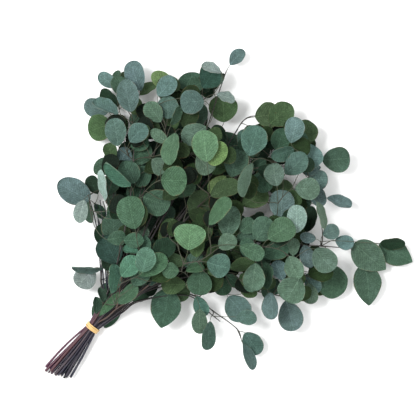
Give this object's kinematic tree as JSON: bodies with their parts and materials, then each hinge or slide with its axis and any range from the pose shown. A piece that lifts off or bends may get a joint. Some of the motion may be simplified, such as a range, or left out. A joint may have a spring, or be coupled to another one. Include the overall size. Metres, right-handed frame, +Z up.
{
  "type": "tied bunch of round-leaved eucalyptus branches",
  "caption": "Bunch of preserved eucalyptus branches with round grey-green leaves, tied with a narrow band above the cut stems and lying on its side.",
  "frame": {"origin": "on the table under the middle of the bunch's bounding box", "axes": "+X from the cut stem ends to the leafy tips, +Z up from the table the bunch lies on"},
  "size_m": [0.425, 0.4076, 0.1101],
  "materials": {
    "eucalyptus": "matte",
    "natural_rubber": "satin"
  },
  "bodies": {
    "root": {"branch_low_right": "eucalyptus", "branch_right_low": "eucalyptus", "branch_right_middle": "eucalyptus", "branch_far_right": "eucalyptus", "branch_right_top": "eucalyptus", "branch_right_under": "eucalyptus", "branch_right_upper": "eucalyptus", "branch_crest": "eucalyptus", "branch_upper_right": "eucalyptus", "branch_long_top": "eucalyptus", "branch_top": "eucalyptus", "branch_top_middle": "eucalyptus", "branch_top_left": "eucalyptus", "branch_upper_left": "eucalyptus", "branch_left": "eucalyptus", "branch_left_under": "eucalyptus", "tie_band": "natural_rubber"}
  },
  "joints": []
}
